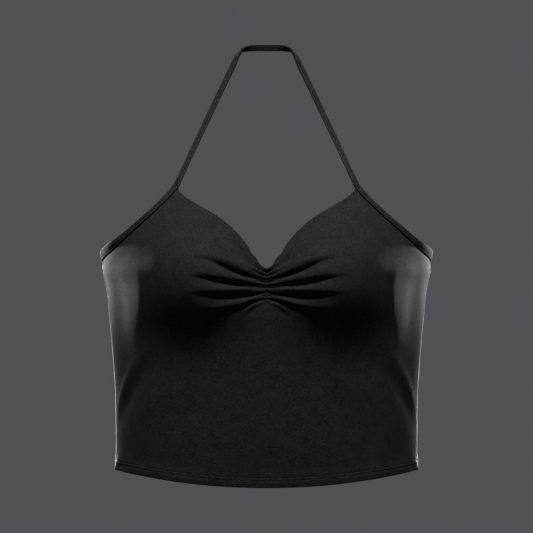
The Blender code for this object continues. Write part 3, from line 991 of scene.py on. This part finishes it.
def knitPattern(tree):
    # wales with slanted loops up them, on the cloth's own map
    s = jersey
    uv = tree.nodes.new("ShaderNodeUVMap")
    uv.uv_map = "cloth"
    split = tree.nodes.new("ShaderNodeSeparateXYZ")
    tree.links.new(uv.outputs[0], split.inputs[0])
    wale = calc(tree, "FRACT", calc(tree, "DIVIDE", split.outputs[0], s["wale"]))
    leg = calc(tree, "MULTIPLY", calc(tree, "ABSOLUTE", calc(tree, "SUBTRACT", wale, 0.5)), 2.0)
    course = calc(tree, "DIVIDE", split.outputs[1], s["course"])
    slanted = calc(tree, "SUBTRACT", course, calc(tree, "MULTIPLY", leg, s["legSlant"]))
    loop = calc(tree, "SINE", calc(tree, "MULTIPLY", slanted, 2 * math.pi))
    ridge = calc(tree, "SINE", calc(tree, "MULTIPLY", leg, math.pi))
    return mixed(tree, loop, s["loopShare"], ridge, 1 - s["loopShare"])


def noiseShade(tree, place, scale, detail):
    node = tree.nodes.new("ShaderNodeTexNoise")
    node.inputs["Scale"].default_value = scale
    node.inputs["Detail"].default_value = detail
    tree.links.new(place, node.inputs["Vector"])
    return node.outputs["Fac"]


def plainMaterial(name, roughness):
    material = bpy.data.materials.new(name)
    material.use_nodes = True
    shader = material.node_tree.nodes["Principled BSDF"]
    shader.inputs["Roughness"].default_value = roughness
    return material, shader


def jerseyMaterial(name, shade):
    s = jersey
    material, shader = plainMaterial(name, s["roughness"])
    tree = material.node_tree
    shader.inputs["Sheen Weight"].default_value = s["sheen"]
    shader.inputs["Sheen Roughness"].default_value = s["sheenRoughness"]
    shader.inputs["Specular IOR Level"].default_value = s["specular"]
    knit = knitPattern(tree)
    place = tree.nodes.new("ShaderNodeTexCoord").outputs["Object"]
    fine = noiseShade(tree, place, s["fineScale"], s["fineDetail"])
    broad = noiseShade(tree, place, s["broadScale"], s["broadDetail"])

    grain = mixed(tree, fine, s["fineShare"], broad, 1 - s["fineShare"])
    spread = calc(tree, "MULTIPLY_ADD", grain, s["contrast"], 0.5 - s["contrast"] / 2)
    tone = calc(tree, "ADD", spread, calc(tree, "MULTIPLY", knit, s["knitTone"]))
    ramp = tree.nodes.new("ShaderNodeMix")
    ramp.data_type = "RGBA"
    ramp.inputs["A"].default_value = [c * shade * s["darkest"] for c in s["colour"]] + [1.0]
    ramp.inputs["B"].default_value = [c * shade * s["lightest"] for c in s["colour"]] + [1.0]
    tree.links.new(tone, ramp.inputs["Factor"])
    tree.links.new(ramp.outputs["Result"], shader.inputs["Base Color"])

    bump = tree.nodes.new("ShaderNodeBump")
    bump.inputs["Strength"].default_value = s["bumpStrength"]
    bump.inputs["Distance"].default_value = s["bump"]
    tree.links.new(mixed(tree, knit, s["knitRelief"], fine, s["fineRelief"]), bump.inputs["Height"])
    tree.links.new(bump.outputs["Normal"], shader.inputs["Normal"])
    return material


bodyJersey = jerseyMaterial("bodyJersey", 1.0)
bindingJersey = jerseyMaterial("bindingJersey", jersey["bindingShade"])
for piece, material, slot, node in (
    (frontShell, bodyJersey, "body_jersey", "front_panel"),
    (backShell, bodyJersey, "body_jersey", "back_panel"),
    (halterStrip, bindingJersey, "binding_jersey", "halter_binding"),
    (backStrip, bindingJersey, "binding_jersey", "back_binding"),
):
    piece.data.materials.append(material)
    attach(piece, "root")
    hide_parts(node)

threadMaterial, threadShader = plainMaterial("thread", thread["roughness"])
threadShader.inputs["Base Color"].default_value = thread["colour"]
for piece, slot in ((hemStitches, "body_jersey"), (stripStitches, "binding_jersey")):
    piece.data.materials.append(threadMaterial)
    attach(piece, "root")

print("cloth ready")


# floor and backdrop in one round sweep, in metres
studio = {
    "floorZ": -1.35,
    "radius": 3.6,
    "bend": 0.9,
    "bendSteps": 12,
    "height": 3.2,
    "sides": 96,
    "colour": (0.12, 0.1212, 0.1224, 1.0),
    "roughness": 0.9,
    "glowColour": (0.95, 1.0, 1.05, 1.0),
    "glow": 0.075,
    "worldColour": (0.9, 0.95, 1.0, 1.0),
    "worldStrength": 0.02,
}
# lamps: place, aim, size, watts, spread in degrees
lamps = {
    "topLight": ((0.0, -0.70, 1.045), (0.0, -0.13, -0.08), (0.7, 0.35), 1.4, 17),
    "backLight": ((0.0, 1.0, 0.75), (0.0, 0.02, -0.30), (0.8, 0.4), 1.6, 30),
}
# these stand on both sides, each with its tilt and whether it lights the cloth alone
sideLamps = {
    "Side": ((1.14, 0.85, 0.18), (0.13, -0.10, -0.245), (0.04, 0.04), 0.072, 4.6, 0, False),
    "Wide": ((1.14, 0.85, 0.18), (0.13, -0.09, -0.278), (0.06, 0.06), 0.012, 7, 0, False),
    "Rim": ((0.56, 1.75, 0.15), (0.157, -0.03, -0.30), (0.006, 0.24), 0.088, 1.2, 3, True),
}


def studioProfile():
    # distance from the middle and height, out over the floor and up the bend
    s = studio
    flat = s["radius"] - s["bend"]
    profile = [(flat, 0.0)]
    for i in range(1, s["bendSteps"] + 1):
        turn = math.radians(90 * i / s["bendSteps"])
        profile.append((flat + s["bend"] * math.sin(turn), s["bend"] * (1 - math.cos(turn))))
    return profile + [(s["radius"], s["height"])]


def studioFloor():
    s, profile = studio, studioProfile()
    sides, rings = s["sides"], len(profile)
    verts, faces = [], []
    for i in range(sides):
        turn = 2 * math.pi * i / sides
        verts += [(r * math.sin(turn), r * math.cos(turn), s["floorZ"] + z) for r, z in profile]
    verts.append((0.0, 0.0, s["floorZ"]))
    for i in range(sides):
        j = (i + 1) % sides
        faces.append((len(verts) - 1, j * rings, i * rings))
        for k in range(rings - 1):
            faces.append((i * rings + k, j * rings + k, j * rings + k + 1, i * rings + k + 1))
    floor = addPiece("studio_floor", verts, faces)
    material, shader = plainMaterial("studioFloor", s["roughness"])
    shader.inputs["Base Color"].default_value = s["colour"]
    shader.inputs["Emission Color"].default_value = s["glowColour"]
    shader.inputs["Emission Strength"].default_value = s["glow"]
    floor.data.materials.append(material)


clothOnly = bpy.data.collections.new("cloth_only")
for piece in (frontShell, backShell, halterStrip, backStrip, hemStitches, stripStitches):
    clothOnly.objects.link(piece)


def softbox(name, place, aim, size, power, spread, tilt=0.0, lit=None):
    data = bpy.data.lights.new(name, "AREA")
    data.shape = "RECTANGLE"
    data.size, data.size_y = size
    data.energy = power
    data.spread = math.radians(spread)
    lamp = bpy.data.objects.new(name, data)
    lamp.location = place
    lamp.rotation_mode = "QUATERNION"
    turned = Quaternion((0.0, 0.0, 1.0), math.radians(tilt))
    lamp.rotation_quaternion = (Vector(aim) - Vector(place)).to_track_quat("-Z", "Y") @ turned
    lamp.visible_camera = False
    lamp.light_linking.receiver_collection = lit
    bpy.context.scene.collection.objects.link(lamp)


studioFloor()
for name, values in lamps.items():
    softbox(name, *values)
for side, word in ((-1, "right"), (1, "left")):
    for name, (place, aim, size, power, spread, tilt, clothAlone) in sideLamps.items():
        place, aim = (side * place[0], *place[1:]), (side * aim[0], *aim[1:])
        lit = clothOnly if clothAlone else None
        softbox(word + name, place, aim, size, power, spread, side * tilt, lit)

world = bpy.data.worlds.new("studioWorld")
world.use_nodes = True
background = world.node_tree.nodes["Background"]
background.inputs["Color"].default_value = studio["worldColour"]
background.inputs["Strength"].default_value = studio["worldStrength"]
bpy.context.scene.world = world
bpy.context.scene.view_settings.view_transform = "Standard"

view = {
    "distance": 2.2,             # from the side line
    "height": -0.223,
    "width": 0.533,              # of the view at the side line
    "sensor": 36.0,
}
cameraData = bpy.data.cameras.new("camera")
cameraData.sensor_width = view["sensor"]
cameraData.lens = view["sensor"] * view["distance"] / view["width"]
camera = bpy.data.objects.new("camera", cameraData)
camera.location = (0.0, bodyForm["sideLineY"] * mm - view["distance"], view["height"])
camera.rotation_euler = (math.radians(90), 0.0, 0.0)
bpy.context.scene.collection.objects.link(camera)
bpy.context.scene.camera = camera
print("studio ready")

bpy.context.view_layer.update()
